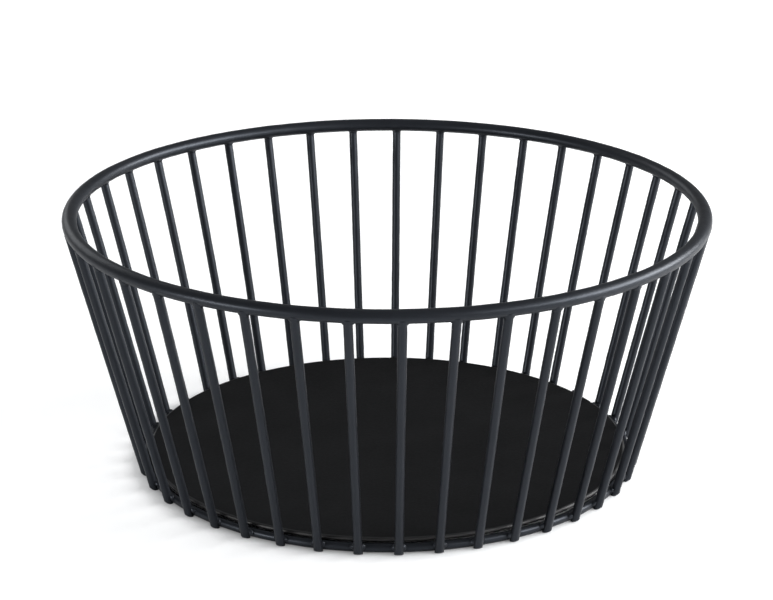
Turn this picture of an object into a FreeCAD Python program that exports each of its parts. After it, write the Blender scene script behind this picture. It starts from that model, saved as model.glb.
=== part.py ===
import FreeCAD, Part
import math
import os

from FreeCAD import Vector

os.makedirs("parts", exist_ok=True)

# Round wire basket, standing on the lower ends of its uprights.
# Millimetres and degrees. +Z is up, z = 0 is the surface that it stands on,
# and the Z axis is the centre of the basket. The front faces -Y.

# Rim: a slightly flattened round bar, bent to a ring
RIM_OUTSIDE_D = 250.0
RIM_BAR_WIDTH = 5.8
RIM_BAR_HEIGHT = 5.2
RIM_TOP_Z = 103.8

# Uprights: straight wires that lean outwards
UPRIGHT_COUNT = 41
UPRIGHT_WIRE_D = 3.4
UPRIGHT_FOOT_PITCH_D = 194.2
UPRIGHT_OUTSET_AT_RIM = 1.3
UPRIGHT_RISE_PAST_RIM = 0.9
UPRIGHT_WELD_GAP = 0.02

# Base ring: one round wire inside the uprights, just clear of the ground
BASE_WIRE_D = 3.2
BASE_GROUND_GAP = 0.2

# Floor: a flat sheet disc that lies on the base ring
FLOOR_SHEET = 1.8
FLOOR_EDGE_BREAK = 0.4
FLOOR_UPRIGHT_GAP = 1.1

# Sizes that follow from the ones above
RIM_LINE_R = (RIM_OUTSIDE_D - RIM_BAR_WIDTH) / 2
RIM_LINE_Z = RIM_TOP_Z - RIM_BAR_HEIGHT / 2
RIM_UNDERSIDE_Z = RIM_TOP_Z - RIM_BAR_HEIGHT
FOOT_R = UPRIGHT_FOOT_PITCH_D / 2
LEAN = math.atan2(RIM_LINE_R + UPRIGHT_OUTSET_AT_RIM - FOOT_R, RIM_LINE_Z)
UPRIGHT_HALF_WIDTH = UPRIGHT_WIRE_D / 2 / math.cos(LEAN)
BASE_LINE_Z = BASE_GROUND_GAP + BASE_WIRE_D / 2
FLOOR_UNDERSIDE_Z = BASE_LINE_Z + BASE_WIRE_D / 2


def upright_line_r(height):
    """Radius at which an upright's centre line passes the given height."""
    return FOOT_R + height * math.tan(LEAN)


def upright_inside_r(height):
    """Radius of an upright's surface towards the basket's centre."""
    return upright_line_r(height) - UPRIGHT_HALF_WIDTH


def base_line_r():
    """Centre line of the base ring, whose wire touches the uprights' wires."""
    reach = (UPRIGHT_WIRE_D + BASE_WIRE_D) / 2
    return upright_line_r(BASE_LINE_Z) - reach / math.cos(LEAN)


def make_bar_ring(line_r, line_z, width, height):
    """Oval or round bar section turned round the Z axis."""
    larger, smaller = max(width, height), min(width, height)
    section = Part.Ellipse(Vector(line_r, 0, line_z), larger / 2, smaller / 2)
    section.Axis = Vector(0, -1, 0)
    section.XAxis = Vector(1, 0, 0) if width >= height else Vector(0, 0, 1)
    bar_end = Part.Face(Part.Wire(section.toShape()))
    return bar_end.revolve(Vector(0, 0, 0), Vector(0, 0, 1), 360)


def make_rim_ring():
    """Flattened bar bent to the rim, wider than it is high."""
    return make_bar_ring(RIM_LINE_R, RIM_LINE_Z, RIM_BAR_WIDTH, RIM_BAR_HEIGHT)


def make_base_ring():
    """Round wire bent to a closed ring."""
    return make_bar_ring(base_line_r(), BASE_LINE_Z, BASE_WIRE_D, BASE_WIRE_D)


def make_floor_plate():
    """Sheet disc with broken edges, as wide as the uprights let it lie."""
    radius = upright_inside_r(FLOOR_UNDERSIDE_Z) - FLOOR_UPRIGHT_GAP
    disc = Part.makeCylinder(radius, FLOOR_SHEET, Vector(0, 0, FLOOR_UNDERSIDE_Z))
    rims = [edge for edge in disc.Edges if isinstance(edge.Curve, Part.Circle)]
    return disc.makeChamfer(FLOOR_EDGE_BREAK, rims)


def make_rim_cope():
    """Straight round cutter that follows the curve of the rim's underside."""
    underside_curve_r = RIM_BAR_WIDTH**2 / 2 / RIM_BAR_HEIGHT
    reach = 2 * UPRIGHT_WIRE_D
    start = Vector(-reach, -RIM_LINE_R, RIM_UNDERSIDE_Z + underside_curve_r)
    radius = underside_curve_r + UPRIGHT_WELD_GAP
    return Part.makeCylinder(radius, 2 * reach, start, Vector(1, 0, 0))


def make_upright():
    """Leaning wire at the front, cut level below and coped to the rim above."""
    axis = Vector(0, -math.sin(LEAN), math.cos(LEAN))
    foot = Vector(0, -FOOT_R, 0)
    start = foot - axis * UPRIGHT_WIRE_D
    end_z = RIM_UNDERSIDE_Z + UPRIGHT_RISE_PAST_RIM
    length = UPRIGHT_WIRE_D + end_z / math.cos(LEAN)
    wire = Part.makeCylinder(UPRIGHT_WIRE_D / 2, length, start, axis)
    depth = 2 * UPRIGHT_WIRE_D
    corner = Vector(-depth, -FOOT_R - depth, -2 * depth)
    ground = Part.makeBox(2 * depth, 2 * depth, 2 * depth, corner)
    return wire.cut([ground, make_rim_cope()])


def make_uprights():
    """The same wire repeated at equal steps round the basket."""
    front = make_upright()
    step = 360 / UPRIGHT_COUNT
    uprights = []
    for place in range(UPRIGHT_COUNT):
        turned = front.copy()
        turned.rotate(Vector(0, 0, 0), Vector(0, 0, 1), place * step)
        uprights.append(turned)
    return uprights


def export(name, shape):
    """Check that a piece is one sound solid and write its STEP file."""
    solid = shape.Solids[0]
    if len(shape.Solids) != 1 or not solid.isValid():
        raise ValueError(name + " is not one valid solid")
    solid.exportStep("parts/" + name + ".step")


def main():
    export("rim_ring", make_rim_ring())
    export("base_ring", make_base_ring())
    export("floor_plate", make_floor_plate())
    for number, upright in enumerate(make_uprights(), start=1):
        export("upright_{:02d}".format(number), upright)


main()
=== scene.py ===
"""Looks of a round wire basket: coated wires, welds, floor, soft light and camera.

Lengths are in metres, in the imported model's frame: +Z up, z = 0 is the surface
that the basket stands on, and the front faces -Y.
"""

import logging
import math
from dataclasses import dataclass, replace
from enum import Enum

import bpy
import numpy as np
from mathutils import Euler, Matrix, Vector


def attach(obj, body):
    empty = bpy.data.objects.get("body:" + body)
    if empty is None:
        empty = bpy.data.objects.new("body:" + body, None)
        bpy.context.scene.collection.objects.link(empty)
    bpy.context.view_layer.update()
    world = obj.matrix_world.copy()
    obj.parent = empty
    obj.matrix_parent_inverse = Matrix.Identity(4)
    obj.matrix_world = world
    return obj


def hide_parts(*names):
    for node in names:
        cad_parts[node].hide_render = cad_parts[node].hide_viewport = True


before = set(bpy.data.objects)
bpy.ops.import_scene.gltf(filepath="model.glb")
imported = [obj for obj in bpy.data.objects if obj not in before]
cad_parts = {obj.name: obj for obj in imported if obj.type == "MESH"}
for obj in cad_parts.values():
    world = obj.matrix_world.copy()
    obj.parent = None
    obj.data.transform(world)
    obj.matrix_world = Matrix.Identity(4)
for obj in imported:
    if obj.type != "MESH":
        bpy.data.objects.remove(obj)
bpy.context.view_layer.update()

LOG = logging.getLogger("basket")
BODY = "root"
MM = 0.001
TURN = 2 * math.pi
QUARTER = math.pi / 2
Color = tuple[float, float, float, float]


class Slot(Enum):
    """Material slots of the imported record."""

    FRAME = "frame_coat"
    FLOOR = "floor_coat"


class Reach(Enum):
    """How the rows of a surface grid end."""

    CLOSED = "closed"
    CAPPED = "capped"


class Socket(Enum):
    """Kinds of socket on a node group."""

    FLOAT = "NodeSocketFloat"
    COLOR = "NodeSocketColor"


def add_object(name: str, points: np.ndarray, faces: list[np.ndarray]) -> bpy.types.Object:
    """Make a smooth mesh object at the origin from whole arrays.

    Args:
        name: Name of the object and of its mesh.
        points: Array of shape (count, 3), in metres.
        faces: Arrays of shape (count, corners), each with its own number of corners.

    Returns:
        The object, linked to the scene.
    """
    mesh = bpy.data.meshes.new(name)
    corners = np.concatenate([part.ravel() for part in faces]).astype(np.int32)
    totals = np.concatenate([np.full(len(part), part.shape[1]) for part in faces])
    starts = np.concatenate([[0], np.cumsum(totals)[:-1]]).astype(np.int32)
    mesh.vertices.add(len(points))
    mesh.vertices.foreach_set("co", points.astype(np.float32).ravel())
    mesh.loops.add(len(corners))
    mesh.loops.foreach_set("vertex_index", corners)
    mesh.polygons.add(len(totals))
    mesh.polygons.foreach_set("loop_start", starts)
    mesh.polygons.foreach_set("use_smooth", np.ones(len(totals), bool))
    mesh.update(calc_edges=True)
    mesh.validate()
    thing = bpy.data.objects.new(name, mesh)
    bpy.context.scene.collection.objects.link(thing)
    return thing


def grid_faces(rows: int, columns: int, reach: Reach, first: int = 0) -> list[np.ndarray]:
    """Faces of a grid whose columns close on themselves.

    Args:
        rows: Number of rows of points.
        columns: Number of points in a row, the last of which meets the first.
        reach: Whether the last row meets the first, or both get a cap.
        first: Index of the grid's first point.

    Returns:
        Quads, and for a capped grid one polygon at each end. They face outward
        when rows go up and columns go anticlockwise seen from above.
    """
    row = np.arange(rows if reach is Reach.CLOSED else rows - 1)[:, None]
    column = np.arange(columns)[None, :]
    above, beside = (row + 1) % rows, (column + 1) % columns
    quads = np.stack(
        [
            row * columns + column,
            row * columns + beside,
            above * columns + beside,
            above * columns + column,
        ],
        axis=-1,
    ).reshape(-1, 4)
    parts = [quads + first]
    if reach is Reach.CAPPED:
        ends = np.arange(columns)
        parts.append(ends[None, ::-1] + first)
        parts.append(ends[None, :] + first + (rows - 1) * columns)
    return parts


def turned_section(section: np.ndarray, steps: int) -> np.ndarray:
    """Turn a section round the Z axis.

    Args:
        section: Array of shape (count, 2) of radius and height.
        steps: Number of places round the axis.

    Returns:
        Points of shape (count, steps, 3): x is the radius times the sine of the
        turn, and y is minus the radius times its cosine, so turn 0 is the front.
    """
    turn = np.linspace(0, TURN, steps, endpoint=False)[None, :]
    radius, height = section[:, 0:1], section[:, 1:2]
    return np.stack(
        [
            radius * np.sin(turn),
            -radius * np.cos(turn),
            height + 0 * turn,
        ],
        axis=-1,
    )


def placed_round(
    radius: np.ndarray, sideways: np.ndarray, height: np.ndarray, turn: float
) -> np.ndarray:
    """Turn points that were worked out at the front to their place round Z.

    Args:
        radius: Distances out from the axis, along the turned direction.
        sideways: Distances across it, anticlockwise seen from above.
        height: Heights, of the same shape as the two others.
        turn: Angle round Z from the front.

    Returns:
        Points whose last axis is x, y, z: x is the radius times the sine plus
        the sideways distance times the cosine, and y is the sideways distance
        times the sine minus the radius times the cosine.
    """
    sine, cosine = math.sin(turn), math.cos(turn)
    return np.stack(
        [
            radius * sine + sideways * cosine,
            -radius * cosine + sideways * sine,
            height,
        ],
        axis=-1,
    )


def smooth_noise(points: np.ndarray, scale: float, seed: int) -> np.ndarray:
    """Soft irregularity in space, as a sum of sine waves in random directions.

    Args:
        points: Array whose last axis is x, y, z.
        scale: Shortest wavelength, in the unit of the points.
        seed: Seed of the directions and phases.

    Returns:
        Values of about -1 to 1, one for each point.
    """
    source = np.random.default_rng(seed)
    total = np.zeros(points.shape[:-1])
    waves, slowest, fastest = 9, 0.35, 1.0
    for _ in range(waves):
        way = source.normal(size=3)
        way *= TURN / scale / np.linalg.norm(way) * source.uniform(slowest, fastest)
        total += np.sin(points @ way + source.uniform(0, TURN))
    return total / math.sqrt(waves)


def new_group(
    name: str, inputs: dict[str, Socket], outputs: dict[str, Socket]
) -> tuple[bpy.types.NodeTree, bpy.types.Node, bpy.types.Node]:
    """Start a shader node group with its sockets.

    Args:
        name: Name of the group.
        inputs: Kind of each input, by its label.
        outputs: Kind of each output, by its label.

    Returns:
        The group, its input node and its output node.
    """
    group = bpy.data.node_groups.new(name, "ShaderNodeTree")
    for way, sockets in (("INPUT", inputs), ("OUTPUT", outputs)):
        for label, kind in sockets.items():
            group.interface.new_socket(name=label, in_out=way, socket_type=kind.value)
    inlet = group.nodes.new("NodeGroupInput")
    outlet = group.nodes.new("NodeGroupOutput")
    return group, inlet, outlet


def add_group(
    nodes: bpy.types.Nodes, tree: bpy.types.NodeTree, values: dict[str, float | Color]
) -> bpy.types.Node:
    """Place a node group in a material with that material's own values.

    Args:
        nodes: The material's nodes.
        tree: The shared group.
        values: Value of each input, by its label.

    Returns:
        The group's node.
    """
    placed = nodes.new("ShaderNodeGroup")
    placed.node_tree = tree
    for label, value in values.items():
        placed.inputs[label].default_value = value
    return placed


@dataclass(frozen=True)
class ReliefGroup:
    """Shared node group: height of a sprayed and baked coat's surface."""

    name: str = "coat_relief"
    peel_detail: float = 2.0
    peel_roughness: float = 0.45
    grit_scale: float = 5200.0
    grit_detail: float = 1.0

    def build(self) -> bpy.types.NodeTree:
        """Make the group, or find it.

        Returns:
            A group with inputs Peel Scale and Peel Share and output Height.
        """
        found = bpy.data.node_groups.get(self.name)
        if found:
            return found
        group, inlet, outlet = new_group(
            self.name,
            {"Peel Scale": Socket.FLOAT, "Peel Share": Socket.FLOAT},
            {"Height": Socket.FLOAT},
        )
        nodes, links = group.nodes, group.links
        place = nodes.new("ShaderNodeTexCoord")
        peel = nodes.new("ShaderNodeTexNoise")
        peel.inputs["Detail"].default_value = self.peel_detail
        peel.inputs["Roughness"].default_value = self.peel_roughness
        grit = nodes.new("ShaderNodeTexNoise")
        grit.inputs["Scale"].default_value = self.grit_scale
        grit.inputs["Detail"].default_value = self.grit_detail
        mix = nodes.new("ShaderNodeMix")
        mix.data_type = "FLOAT"
        links.new(place.outputs["Object"], peel.inputs["Vector"])
        links.new(place.outputs["Object"], grit.inputs["Vector"])
        links.new(inlet.outputs["Peel Scale"], peel.inputs["Scale"])
        links.new(inlet.outputs["Peel Share"], mix.inputs["Factor"])
        links.new(grit.outputs["Fac"], mix.inputs["A"])
        links.new(peel.outputs["Fac"], mix.inputs["B"])
        links.new(mix.outputs["Result"], outlet.inputs["Height"])
        return group


@dataclass(frozen=True)
class ShadeGroup:
    """Shared node group: how the coat's colour and gloss drift over the surface."""

    name: str = "coat_shade"
    drift_scale: float = 38.0
    drift_detail: float = 4.0
    drift_low: float = 0.3
    drift_high: float = 0.7
    speck_scale: float = 900.0
    speck_detail: float = 3.0

    def build(self) -> bpy.types.NodeTree:
        """Make the group, or find it.

        Returns:
            A group with inputs Thin, Thick, Smooth and Dull and outputs Color
            and Roughness.
        """
        found = bpy.data.node_groups.get(self.name)
        if found:
            return found
        group, inlet, outlet = new_group(
            self.name,
            {
                "Thin": Socket.COLOR,
                "Thick": Socket.COLOR,
                "Smooth": Socket.FLOAT,
                "Dull": Socket.FLOAT,
            },
            {"Color": Socket.COLOR, "Roughness": Socket.FLOAT},
        )
        nodes, links = group.nodes, group.links
        place = nodes.new("ShaderNodeTexCoord")
        drift = nodes.new("ShaderNodeTexNoise")
        drift.inputs["Scale"].default_value = self.drift_scale
        drift.inputs["Detail"].default_value = self.drift_detail
        speck = nodes.new("ShaderNodeTexNoise")
        speck.inputs["Scale"].default_value = self.speck_scale
        speck.inputs["Detail"].default_value = self.speck_detail
        spread = nodes.new("ShaderNodeMapRange")
        spread.inputs["From Min"].default_value = self.drift_low
        spread.inputs["From Max"].default_value = self.drift_high
        tint = nodes.new("ShaderNodeMix")
        tint.data_type = "RGBA"
        gloss = nodes.new("ShaderNodeMix")
        gloss.data_type = "FLOAT"
        links.new(place.outputs["Object"], drift.inputs["Vector"])
        links.new(place.outputs["Object"], speck.inputs["Vector"])
        links.new(drift.outputs["Fac"], spread.inputs["Value"])
        links.new(spread.outputs["Result"], tint.inputs["Factor"])
        links.new(inlet.outputs["Thin"], tint.inputs["A"])
        links.new(inlet.outputs["Thick"], tint.inputs["B"])
        links.new(speck.outputs["Fac"], gloss.inputs["Factor"])
        links.new(inlet.outputs["Smooth"], gloss.inputs["A"])
        links.new(inlet.outputs["Dull"], gloss.inputs["B"])
        links.new(tint.outputs["Result"], outlet.inputs["Color"])
        links.new(gloss.outputs["Result"], outlet.inputs["Roughness"])
        return group


@dataclass(frozen=True)
class EdgeGroup:
    """Shared node group: how far out from the Z axis a point lies."""

    name: str = "edge_share"
    flatten: tuple[float, float, float] = (1.0, 1.0, 0.0)

    def build(self) -> bpy.types.NodeTree:
        """Make the group, or find it.

        Returns:
            A group with inputs Inner, Outer and Most, and an output Share that
            rises from 0 at the inner radius to Most at the outer one.
        """
        found = bpy.data.node_groups.get(self.name)
        if found:
            return found
        group, inlet, outlet = new_group(
            self.name,
            {"Inner": Socket.FLOAT, "Outer": Socket.FLOAT, "Most": Socket.FLOAT},
            {"Share": Socket.FLOAT},
        )
        nodes, links = group.nodes, group.links
        place = nodes.new("ShaderNodeTexCoord")
        level = nodes.new("ShaderNodeVectorMath")
        level.operation = "MULTIPLY"
        level.inputs[1].default_value = self.flatten
        radius = nodes.new("ShaderNodeVectorMath")
        radius.operation = "LENGTH"
        spread = nodes.new("ShaderNodeMapRange")
        links.new(place.outputs["Object"], level.inputs[0])
        links.new(level.outputs["Vector"], radius.inputs[0])
        links.new(radius.outputs["Value"], spread.inputs["Value"])
        links.new(inlet.outputs["Inner"], spread.inputs["From Min"])
        links.new(inlet.outputs["Outer"], spread.inputs["From Max"])
        links.new(inlet.outputs["Most"], spread.inputs["To Max"])
        links.new(spread.outputs["Result"], outlet.inputs["Share"])
        return group


@dataclass(frozen=True)
class PowderCoat:
    """Black satin powder coat, as one finish of the basket.

    The clear gloss of the coat starts at the radius gloss_from and is full
    after gloss_ramp, so that the plate can shine at its edge alone.
    """

    name: str
    thin: Color
    thick: Color
    smooth: float
    dull: float
    peel_scale: float
    peel_share: float
    relief: float
    relief_depth: float
    coat_gloss: float
    coat_roughness: float
    gloss_from: float
    tint: Color
    shine: float
    gloss_ramp: float = 0.4 * MM

    def material(self) -> bpy.types.Material:
        """Build the finish as a node material, or find it.

        Returns:
            The material.
        """
        found = bpy.data.materials.get(self.name)
        if found:
            return found
        material = bpy.data.materials.new(self.name)
        material.use_nodes = True
        nodes, links = material.node_tree.nodes, material.node_tree.links
        shader = nodes["Principled BSDF"]
        shade = add_group(
            nodes,
            ShadeGroup().build(),
            {
                "Thin": self.thin,
                "Thick": self.thick,
                "Smooth": self.smooth,
                "Dull": self.dull,
            },
        )
        relief = add_group(
            nodes,
            ReliefGroup().build(),
            {"Peel Scale": self.peel_scale, "Peel Share": self.peel_share},
        )
        edge = add_group(
            nodes,
            EdgeGroup().build(),
            {
                "Inner": self.gloss_from,
                "Outer": self.gloss_from + self.gloss_ramp,
                "Most": self.coat_gloss,
            },
        )
        bump = nodes.new("ShaderNodeBump")
        bump.inputs["Strength"].default_value = self.relief
        bump.inputs["Distance"].default_value = self.relief_depth
        links.new(shade.outputs["Color"], shader.inputs["Base Color"])
        links.new(shade.outputs["Roughness"], shader.inputs["Roughness"])
        links.new(relief.outputs["Height"], bump.inputs["Height"])
        links.new(bump.outputs["Normal"], shader.inputs["Normal"])
        links.new(edge.outputs["Share"], shader.inputs["Coat Weight"])
        shader.inputs["Coat Roughness"].default_value = self.coat_roughness
        shader.inputs["Specular Tint"].default_value = self.tint
        shader.inputs["Specular IOR Level"].default_value = self.shine
        return material


@dataclass(frozen=True)
class Paper:
    """Plain pale floor with a faint mottle, lifted to white for the camera alone.

    The lift grows from lift_near to lift_far between the radii near and far. It
    is left out within shaded_within and whole beyond open_beyond, so that the
    floor under the basket stays dark.
    """

    name: str = "pale_floor"
    light: Color = (0.76, 0.76, 0.76, 1.0)
    dark: Color = (0.72, 0.725, 0.73, 1.0)
    mottle_scale: float = 3.0
    roughness: float = 0.75
    lift_near: Color = (0.36, 0.36, 0.36, 1.0)
    lift_far: Color = (0.66, 0.66, 0.66, 1.0)
    near: float = 0.3
    far: float = 1.5
    shaded_within: float = 92.0 * MM
    open_beyond: float = 106.0 * MM

    def material(self) -> bpy.types.Material:
        """Build the floor's material.

        Returns:
            The material.
        """
        material = bpy.data.materials.new(self.name)
        material.use_nodes = True
        nodes, links = material.node_tree.nodes, material.node_tree.links
        shader = nodes["Principled BSDF"]
        shader.inputs["Roughness"].default_value = self.roughness
        place = nodes.new("ShaderNodeTexCoord")
        mottle = nodes.new("ShaderNodeTexNoise")
        mottle.inputs["Scale"].default_value = self.mottle_scale
        path = nodes.new("ShaderNodeLightPath")
        mixes = []
        for low, high in ((self.light, self.dark), (self.lift_near, self.lift_far)):
            mix = nodes.new("ShaderNodeMix")
            mix.data_type = "RGBA"
            mix.inputs["A"].default_value = low
            mix.inputs["B"].default_value = high
            mixes.append(mix)
        tint, lift = mixes
        shares = [
            add_group(
                nodes,
                EdgeGroup().build(),
                {"Inner": inner, "Outer": outer, "Most": 1.0},
            )
            for inner, outer in (
                (self.near, self.far),
                (self.shaded_within, self.open_beyond),
            )
        ]
        away, beyond = shares
        seen = nodes.new("ShaderNodeMath")
        seen.operation = "MULTIPLY"
        links.new(place.outputs["Object"], mottle.inputs["Vector"])
        links.new(mottle.outputs["Fac"], tint.inputs["Factor"])
        links.new(tint.outputs["Result"], shader.inputs["Base Color"])
        links.new(away.outputs["Share"], lift.inputs["Factor"])
        links.new(lift.outputs["Result"], shader.inputs["Emission Color"])
        links.new(path.outputs["Is Camera Ray"], seen.inputs[0])
        links.new(beyond.outputs["Share"], seen.inputs[1])
        links.new(seen.outputs["Value"], shader.inputs["Emission Strength"])
        return material


WIRE_COAT = PowderCoat(
    name="wire_powder_coat",
    thin=(0.0112, 0.0122, 0.0150, 1.0),
    thick=(0.0076, 0.0084, 0.0104, 1.0),
    smooth=0.34,
    dull=0.46,
    peel_scale=1150.0,
    peel_share=0.72,
    relief=0.55,
    relief_depth=0.00009,
    coat_gloss=0.08,
    coat_roughness=0.30,
    gloss_from=0.0,
    tint=(0.76, 0.85, 1.0, 1.0),
    shine=0.33,
)
WELD_COAT = replace(
    WIRE_COAT,
    name="weld_powder_coat",
    smooth=0.26,
    dull=0.34,
    relief=0.30,
    coat_gloss=0.12,
    coat_roughness=0.28,
    shine=0.36,
)
# The plate's thin and thick colours are darker than the wires' coat: partly the coat's own
# dark tone, partly painted shade, as if things lay on the plate and shaded it.
FLOOR_COAT_WITH_PAINTED_SHADE = PowderCoat(
    name="floor_powder_coat_with_painted_shade",
    thin=(0.0070, 0.0071, 0.0077, 1.0),
    thick=(0.0046, 0.0047, 0.0052, 1.0),
    smooth=0.62,
    dull=0.76,
    peel_scale=800.0,
    peel_share=0.80,
    relief=0.55,
    relief_depth=0.00010,
    coat_gloss=1.0,
    coat_roughness=0.50,
    gloss_from=0.0931,
    tint=(1.0, 1.0, 1.0, 1.0),
    shine=0.10,
)


def dress(piece: bpy.types.Object, coat: PowderCoat, nodes: list[str]) -> None:
    """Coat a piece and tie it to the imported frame.

    Args:
        piece: The piece, in place in the frame.
        coat: Its finish.
        nodes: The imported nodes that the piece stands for.
    """
    piece.data.materials.clear()
    piece.data.materials.append(coat.material())
    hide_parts(*nodes)
    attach(piece, BODY)


@dataclass(frozen=True)
class BarRing:
    """A bar of oval section bent to a ring about the Z axis."""

    name: str
    node: str
    line_r: float
    line_z: float
    width: float
    height: float
    steps_round: int
    steps_section: int
    seed: int
    unevenness: float = 0.03 * MM
    wave_length: float = 6.0 * MM

    def surface(self) -> np.ndarray:
        """Points of the ring.

        The section is an oval: radius is the centre line's plus half the width
        times the cosine, and height the line's plus half the height times the
        sine. It is turned round Z, and soft waves move it in and out a little.

        Returns:
            Points of shape (steps_section, steps_round, 3).
        """
        angle = np.linspace(0, TURN, self.steps_section, endpoint=False)
        across = np.cos(angle) * (self.width / 2 - self.unevenness)
        up = np.sin(angle) * (self.height / 2 - self.unevenness)
        section = np.stack([self.line_r + across, self.line_z + up], axis=-1)
        points = turned_section(section, self.steps_round)
        middle = turned_section(np.array([[self.line_r, self.line_z]]), self.steps_round)
        out = points - middle
        out /= np.linalg.norm(out, axis=-1, keepdims=True)
        wave = np.clip(smooth_noise(points, self.wave_length, self.seed), -1, 1)
        return points + out * (wave * self.unevenness)[..., None]

    def mesh(self) -> bpy.types.Object:
        """Make the ring's mesh.

        Returns:
            The object.
        """
        points = self.surface()
        faces = grid_faces(self.steps_section, self.steps_round, Reach.CLOSED)
        return add_object(self.name, points.reshape(-1, 3), faces)

    def dress(self, piece: bpy.types.Object) -> None:
        """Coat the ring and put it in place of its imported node."""
        dress(piece, WIRE_COAT, [self.node])


@dataclass(frozen=True)
class WireFrameSizes:
    """Sizes that the uprights share with the two rings."""

    count: int = 41
    wire_r: float = 1.7 * MM
    foot_line_r: float = 97.1 * MM
    rim_line_r: float = 122.1 * MM
    rim_line_z: float = 101.2 * MM
    rim_half_height: float = 2.6 * MM
    rim_shown_width: float = 5.72 * MM
    rim_shown_height: float = 5.19 * MM
    outset: float = 1.3 * MM
    base_line_z: float = 1.75 * MM
    base_wire_r: float = 1.72 * MM
    weld_sink: float = 1.0 * MM

    @property
    def lean(self) -> float:
        """Lean of the uprights from the vertical, in radians."""
        return math.atan2(self.rim_line_r + self.outset - self.foot_line_r, self.rim_line_z)

    @property
    def rim_underside(self) -> float:
        """Height of the rim's underside."""
        return self.rim_line_z - self.rim_half_height

    @property
    def base_line_r(self) -> float:
        """Radius of the base ring's centre line, with its wire sunk into the uprights."""
        reach = (self.wire_r + self.base_wire_r - self.weld_sink) / math.cos(self.lean)
        return self.line_r(self.base_line_z) - reach

    def line_r(self, height: np.ndarray | float) -> np.ndarray | float:
        """Radius of an upright's centre line at a height above the ground."""
        return self.foot_line_r + height * math.tan(self.lean)

    def turn(self, number: int) -> float:
        """Angle round Z from the front of one upright, by its number from 1."""
        return TURN * (number - 1) / self.count

    def rim_ring(self) -> BarRing:
        """Make the rim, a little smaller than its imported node, to stay in its box.

        Returns:
            The ring.
        """
        return BarRing(
            name="rim_bar",
            node="rim_ring",
            line_r=self.rim_line_r,
            line_z=self.rim_line_z,
            width=self.rim_shown_width,
            height=self.rim_shown_height,
            steps_round=900,
            steps_section=48,
            seed=21,
        )

    def base_ring(self) -> BarRing:
        """Make the base ring, of round wire.

        Returns:
            The ring.
        """
        return BarRing(
            name="base_wire",
            node="base_ring",
            line_r=self.base_line_r,
            line_z=self.base_line_z,
            width=2 * self.base_wire_r,
            height=2 * self.base_wire_r,
            steps_round=720,
            steps_section=28,
            seed=22,
        )


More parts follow.
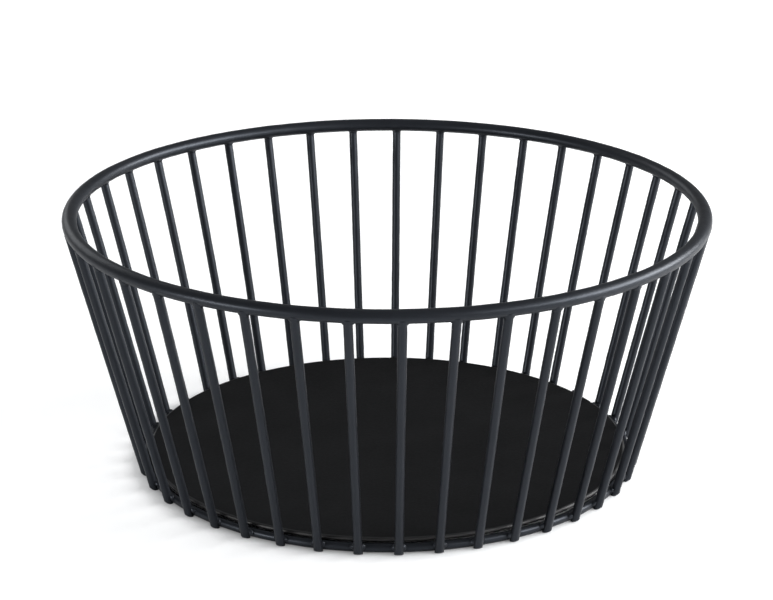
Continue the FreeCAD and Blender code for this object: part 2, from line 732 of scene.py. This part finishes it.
@dataclass(frozen=True)
class Upright:
    """One leaning wire with a nipped foot and a weld fillet under the rim.

    The stretches of rows start and end at shares of the foot's rounding
    (nip_start), of the nip's rise (shaft_start) and of the fillet below the
    rim (shaft_end and head_start).
    """

    number: int
    sizes: WireFrameSizes
    foot_round: float = 0.15 * MM
    nip: float = 0.75 * MM
    nip_rise: float = 0.9 * MM
    nip_curve: float = 1.3
    nip_inside: float = 0.35
    burr: float = 0.10 * MM
    fillet: float = 0.8 * MM
    fillet_side: float = 0.8
    fillet_inside: float = 0.45
    fillet_hollow: float = 0.96
    into_rim: float = 1.5 * MM
    unevenness: float = 0.03 * MM
    wave_length: float = 4.0 * MM
    wave_shift: float = 0.31
    seed: int = 11
    nip_start: float = 1.6
    shaft_start: float = 1.4
    shaft_end: float = 2.0
    head_start: float = 1.7
    foot_rows: int = 7
    nip_rows: int = 6
    shaft_rows: int = 44
    head_rows: int = 20
    columns: int = 32

    @property
    def node(self) -> str:
        """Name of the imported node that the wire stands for."""
        return f"upright_{self.number:02d}"

    def heights(self) -> np.ndarray:
        """Heights of the level sections, close together at both ends.

        Returns:
            Heights that rise from the ground into the rim.
        """
        rounding, rise, under = self.foot_round, self.nip_rise, self.sizes.rim_underside
        foot = rounding * (1 - np.cos(np.linspace(0, QUARTER, self.foot_rows)))
        nipped = np.linspace(self.nip_start * rounding, rise, self.nip_rows)
        shaft_top = under - self.shaft_end * self.fillet
        shaft = np.linspace(self.shaft_start * rise, shaft_top, self.shaft_rows)
        head_foot = under - self.head_start * self.fillet
        head = np.linspace(head_foot, under + self.into_rim, self.head_rows)
        return np.concatenate([foot, nipped, shaft, head])

    def half_widths(self, heights: np.ndarray) -> tuple[np.ndarray, np.ndarray, np.ndarray]:
        """Half widths of the level sections.

        A level cut through the leaning wire is an oval. At the foot, the cutter
        has nipped the wire thinner, mostly from outside, and pressed a small
        burr out sideways, and a quarter circle takes the edge off. Under the
        rim, the sides and the inner face grow along a hollow quarter circle, as
        the weld does.

        Args:
            heights: Heights of the sections.

        Returns:
            Half widths sideways, outwards and inwards.
        """
        low = np.clip(1 - heights / self.foot_round, 0, 1)
        foot = self.sizes.wire_r - self.foot_round * (1 - np.sqrt(1 - low**2))
        rise = (heights - (self.sizes.rim_underside - self.fillet)) / self.fillet
        rise = np.clip(rise, 0, 1)
        flare = self.fillet * (1 - np.sqrt(1 - rise**2 * self.fillet_hollow))
        level = 1 / math.cos(self.sizes.lean)
        nipped = np.clip(1 - heights / self.nip_rise, 0, 1) ** self.nip_curve
        side = foot + self.burr * nipped + self.fillet_side * flare
        outer = foot * level - self.nip * nipped
        inner = foot * level - self.nip_inside * self.nip * nipped
        return side, outer, inner + self.fillet_inside * flare

    def surface(self) -> np.ndarray:
        """Points of the wire.

        Each row is a level oval round the leaning centre line, soft waves swell
        it a little, and the row is turned to the wire's place round Z.

        Returns:
            Points of shape (rows, columns, 3).
        """
        heights = self.heights()
        side, outer, inner = self.half_widths(heights)
        angle = np.linspace(0, TURN, self.columns, endpoint=False)[None, :]
        facing = np.where(np.cos(angle) > 0, outer[:, None], inner[:, None])
        radius = self.sizes.line_r(heights)[:, None] + facing * np.cos(angle)
        sideways = side[:, None] * np.sin(angle)
        height = heights[:, None] + 0 * angle
        place = np.stack([radius, sideways, height], axis=-1)
        shifted = place + self.wave_shift * self.number
        swell = self.unevenness * smooth_noise(shifted, self.wave_length, self.seed)
        radius = radius + swell * np.cos(angle)
        sideways = sideways + swell * np.sin(angle)
        return placed_round(radius, sideways, height, self.sizes.turn(self.number))

    def mesh(self) -> bpy.types.Object:
        """Make the wire's mesh.

        Returns:
            The object.
        """
        points = self.surface()
        rows, columns = points.shape[:2]
        faces = grid_faces(rows, columns, Reach.CAPPED)
        return add_object(f"{self.node}_wire", points.reshape(-1, 3), faces)

    def dress(self, piece: bpy.types.Object) -> None:
        """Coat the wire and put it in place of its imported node."""
        dress(piece, WIRE_COAT, [self.node])


@dataclass(frozen=True)
class BaseWelds:
    """Weld beads where the uprights touch the base ring, as one piece."""

    sizes: WireFrameSizes
    half_along: float = 3.0 * MM
    half_across: float = 1.4 * MM
    half_up: float = 1.6 * MM
    above_line: float = 0.6 * MM
    lumpiness: float = 0.22 * MM
    lump_scale: float = 1.6
    pole_gap: float = 0.05
    first_seed: int = 100
    rows: int = 14
    columns: int = 26

    def bead(self, number: int) -> np.ndarray:
        """Points of one bead.

        It is an ellipsoid between the two wires, long along the ring, and soft
        waves make it lumpy. Its rows stop a little short of the poles.

        Args:
            number: Number of the upright that it holds, from 1.

        Returns:
            Points of shape (rows, columns, 3).
        """
        sizes = self.sizes
        end = QUARTER - self.pole_gap
        up = np.linspace(-end, end, self.rows)[:, None]
        around = np.linspace(0, TURN, self.columns, endpoint=False)[None, :]
        out = np.cos(up) * np.cos(around)
        along = np.cos(up) * np.sin(around)
        rise = np.sin(up) + 0 * around
        unit = np.stack([out, along, rise], axis=-1)
        lumps = smooth_noise(unit, self.lump_scale, self.first_seed + number - 1)
        lump = 1 + lumps * self.lumpiness / self.half_across
        middle = (sizes.line_r(sizes.base_line_z) + sizes.base_line_r) / 2
        height = sizes.base_line_z + self.above_line + rise * self.half_up * lump
        leaning = (height - sizes.base_line_z) * math.tan(sizes.lean)
        radius = middle + out * self.half_across * lump + leaning
        sideways = along * self.half_along * lump
        return placed_round(radius, sideways, height, sizes.turn(number))

    def mesh(self) -> bpy.types.Object:
        """Make all the beads as one mesh.

        Returns:
            The object.
        """
        points, faces = [], []
        size = self.rows * self.columns
        for index in range(self.sizes.count):
            points.append(self.bead(index + 1).reshape(-1, 3))
            faces += grid_faces(self.rows, self.columns, Reach.CAPPED, index * size)
        return add_object("base_welds", np.concatenate(points), faces)

    def dress(self, piece: bpy.types.Object) -> None:
        """Coat the beads and fix them to the frame.

        Args:
            piece: The beads' object.
        """
        piece.data.materials.append(WELD_COAT.material())
        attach(piece, BODY)


@dataclass(frozen=True)
class FloorPlate:
    """The sheet disc that lies on the base ring."""

    radius: float = 94.20 * MM
    underside: float = 3.4 * MM
    sheet: float = 1.8 * MM
    edge_round: float = 0.88 * MM
    edge_depth: float = 0.95 * MM
    dimple: float = 0.04 * MM
    dimple_length: float = 90.0 * MM
    dimple_seed: int = 5
    still_edge: float = 20.0 * MM
    first_r: float = 2.0 * MM
    flat_rows: int = 60
    edge_rows: int = 13
    steps: int = 360

    def surface(self) -> np.ndarray:
        """Points of the disc.

        The section runs from the centre of the underside out round the edge, on
        two quarter ovals deeper than they are high, and back to the centre of
        the top, and is turned round Z. The flat stretches sag in soft waves by
        a few hundredths of a millimetre, less and less towards the edge.

        Returns:
            Points of shape (rows, steps, 3).
        """
        corner = self.radius - self.edge_depth
        flat = np.linspace(self.first_r, corner, self.flat_rows)[:-1]
        quarter = np.linspace(-QUARTER, 0, self.edge_rows)
        low = self.underside + self.edge_round
        high = self.underside + self.sheet - self.edge_round
        round_r = corner + self.edge_depth * np.cos(quarter)
        low_z = low + self.edge_round * np.sin(quarter)
        high_z = high - self.edge_round * np.sin(quarter[::-1])
        bottom = np.stack([flat, np.full(len(flat), self.underside)], axis=-1)
        edge_low = np.stack([round_r, low_z], axis=-1)
        edge_high = np.stack([round_r[::-1], high_z], axis=-1)
        upper = np.full(len(flat), self.underside + self.sheet)
        top = np.stack([flat[::-1], upper], axis=-1)
        section = np.concatenate([bottom, edge_low, edge_high, top])
        points = turned_section(section, self.steps)
        fade = np.clip((self.radius - section[:, 0]) / self.still_edge, 0, 1)[:, None]
        flattened = points * np.array([1, 1, 0])
        wave = smooth_noise(flattened, self.dimple_length, self.dimple_seed)
        points[..., 2] -= self.dimple * fade * np.clip(wave * 0.5 + 0.5, 0, 1)
        return points

    def mesh(self) -> bpy.types.Object:
        """Make the disc's mesh.

        Returns:
            The object.
        """
        points = self.surface()
        rows, columns = points.shape[:2]
        faces = grid_faces(rows, columns, Reach.CAPPED)
        return add_object("floor_sheet", points.reshape(-1, 3), faces)

    def dress(self, piece: bpy.types.Object) -> None:
        """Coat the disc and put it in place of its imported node."""
        # The plate's coat is darker than the wires': partly its own tone, partly painted
        # shade.
        dress(piece, FLOOR_COAT_WITH_PAINTED_SHADE, ["floor_plate"])


def direction(azimuth: float, elevation: float) -> Vector:
    """Direction away from the basket.

    Args:
        azimuth: Degrees round Z, 0 towards the front and 90 towards +X.
        elevation: Degrees above the horizon.

    Returns:
        A vector of length 1.
    """
    turn, rise = math.radians(azimuth), math.radians(elevation)
    return Vector(
        (
            math.sin(turn) * math.cos(rise),
            -math.cos(turn) * math.cos(rise),
            math.sin(rise),
        )
    )


@dataclass(frozen=True)
class Softbox:
    """One large soft lamp that points at the basket's middle."""

    name: str
    azimuth: float
    elevation: float
    distance: float
    width: float
    height: float
    power: float
    color: tuple[float, float, float]
    target_z: float = 0.05

    def build(self) -> None:
        """Add the lamp to the scene."""
        lamp = bpy.data.lights.new(self.name, "AREA")
        lamp.shape = "RECTANGLE"
        lamp.size, lamp.size_y = self.width, self.height
        lamp.energy = self.power
        lamp.color = self.color
        thing = bpy.data.objects.new(self.name, lamp)
        away = direction(self.azimuth, self.elevation)
        thing.location = away * self.distance + Vector((0, 0, self.target_z))
        thing.rotation_euler = (-away).to_track_quat("-Z", "Y").to_euler()
        bpy.context.scene.collection.objects.link(thing)


@dataclass(frozen=True)
class Studio:
    """Pale floor, white surroundings and soft lamps."""

    diffuse_color: Color = (0.97, 0.985, 1.0, 1.0)
    diffuse_surround: float = 0.45
    glossy_color: Color = (0.95, 0.975, 1.0, 1.0)
    glossy_surround: float = 0.18
    seen_color: Color = (1.0, 1.0, 1.0, 1.0)
    seen_surround: float = 1.0
    floor_half: float = 4.0
    lamps: tuple[Softbox, ...] = (
        Softbox(
            name="key_right",
            azimuth=89.0,
            elevation=24.5,
            distance=1.3,
            width=1.45,
            height=0.58,
            power=34.5,
            color=(0.99, 0.995, 1.0),
        ),
        Softbox(
            name="fill_right",
            azimuth=40.0,
            elevation=22.0,
            distance=1.5,
            width=0.7,
            height=0.5,
            power=3.6,
            color=(0.99, 0.995, 1.0),
        ),
        Softbox(
            name="strip_left",
            azimuth=-57.5,
            elevation=6.5,
            distance=1.3,
            width=0.40,
            height=0.08,
            power=6.6,
            color=(1.0, 1.0, 1.0),
        ),
        Softbox(
            name="rear_left",
            azimuth=-146.0,
            elevation=22.0,
            distance=1.6,
            width=0.8,
            height=0.7,
            power=2.4,
            color=(0.97, 0.985, 1.0),
        ),
    )

    def build(self) -> None:
        """Add the floor, the lamps and the surroundings."""
        half = self.floor_half
        corners = np.array(
            [[-half, -half, 0], [half, -half, 0], [half, half, 0], [-half, half, 0]]
        )
        floor = add_object("studio_floor", corners, [np.array([[0, 1, 2, 3]])])
        floor.data.materials.append(Paper().material())
        for lamp in self.lamps:
            lamp.build()
        self.build_world()

    def build_world(self) -> None:
        """Make the surroundings white to the camera and softer to the coat."""
        world = bpy.data.worlds.new("white_room")
        bpy.context.scene.world = world
        world.use_nodes = True
        nodes, links = world.node_tree.nodes, world.node_tree.links
        nodes.clear()
        path = nodes.new("ShaderNodeLightPath")
        out = nodes.new("ShaderNodeOutputWorld")
        shades = []
        for color, strength in (
            (self.diffuse_color, self.diffuse_surround),
            (self.glossy_color, self.glossy_surround),
            (self.seen_color, self.seen_surround),
        ):
            shade = nodes.new("ShaderNodeBackground")
            shade.inputs["Color"].default_value = color
            shade.inputs["Strength"].default_value = strength
            shades.append(shade.outputs["Background"])
        soft, mirrored, white = shades
        unseen = nodes.new("ShaderNodeMixShader")
        seen = nodes.new("ShaderNodeMixShader")
        links.new(path.outputs["Is Glossy Ray"], unseen.inputs["Fac"])
        links.new(soft, unseen.inputs[1])
        links.new(mirrored, unseen.inputs[2])
        links.new(path.outputs["Is Camera Ray"], seen.inputs["Fac"])
        links.new(unseen.outputs["Shader"], seen.inputs[1])
        links.new(white, seen.inputs[2])
        links.new(seen.outputs["Shader"], out.inputs["Surface"])


@dataclass(frozen=True)
class Viewpoint:
    """Camera that was fitted to the photographed outline."""

    azimuth: float = -2.46
    elevation: float = 20.08
    distance: float = 1.0408
    target_z: float = 0.05055
    roll: float = -0.05
    lens: float = 123.39
    sensor: float = 36.0
    shift_x: float = -0.0010
    shift_y: float = 0.0428
    clip_near: float = 0.05
    clip_far: float = 30.0

    def build(self) -> None:
        """Add the camera and make it the scene's."""
        lens = bpy.data.cameras.new("view")
        lens.sensor_width = self.sensor
        lens.lens = self.lens
        lens.shift_x, lens.shift_y = self.shift_x, self.shift_y
        lens.clip_start, lens.clip_end = self.clip_near, self.clip_far
        camera = bpy.data.objects.new("view", lens)
        away = direction(self.azimuth, self.elevation)
        camera.location = away * self.distance + Vector((0, 0, self.target_z))
        aim = (-away).to_track_quat("-Z", "Y")
        tilt = Euler((0, 0, math.radians(self.roll))).to_quaternion()
        camera.rotation_euler = (aim @ tilt).to_euler()
        bpy.context.scene.collection.objects.link(camera)
        bpy.context.scene.camera = camera


def main() -> None:
    """Build every piece in order, then the studio and the camera."""
    logging.basicConfig(level=logging.INFO)
    scene = bpy.context.scene
    scene.view_settings.view_transform = "Standard"
    sizes = WireFrameSizes()
    uprights = [Upright(number, sizes) for number in range(1, sizes.count + 1)]
    parts = [
        sizes.rim_ring(),
        *uprights,
        sizes.base_ring(),
        BaseWelds(sizes),
        FloorPlate(),
    ]
    for part in parts:
        piece = part.mesh()
        part.dress(piece)
        LOG.info("%s: %d points", piece.name, len(piece.data.vertices))
    Studio().build()
    Viewpoint().build()


if __name__ == "__main__":
    main()
